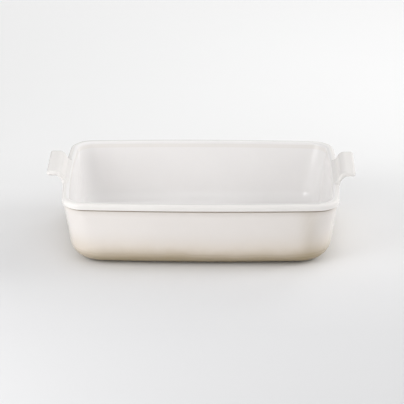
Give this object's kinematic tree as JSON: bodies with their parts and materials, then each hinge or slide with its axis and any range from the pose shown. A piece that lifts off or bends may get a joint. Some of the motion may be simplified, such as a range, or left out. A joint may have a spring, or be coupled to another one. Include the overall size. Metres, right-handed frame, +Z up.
{
  "type": "lasagna dish",
  "caption": "Glazed stoneware baking dish with leaning bowed walls, a rolled rim, a wave-shaped lug at each end and a bare foot ring.",
  "frame": {"origin": "on the table, under the middle of the dish: the centre of the foot ring's underside", "axes": "+X along the length of the dish towards the right-hand lug, +Y across it to the back, +Z up"},
  "size_m": [0.3848, 0.245, 0.0996],
  "materials": {
    "glaze": "glossy off-white glaze, thin and browner along edges and towards the foot",
    "bare_clay": "unglazed, ground buff stoneware"
  },
  "bodies": {
    "root": {"dish_body": "glaze", "rim_band": "glaze", "handle_left": "glaze", "handle_right": "glaze", "foot_ring": "bare_clay"}
  },
  "joints": []
}
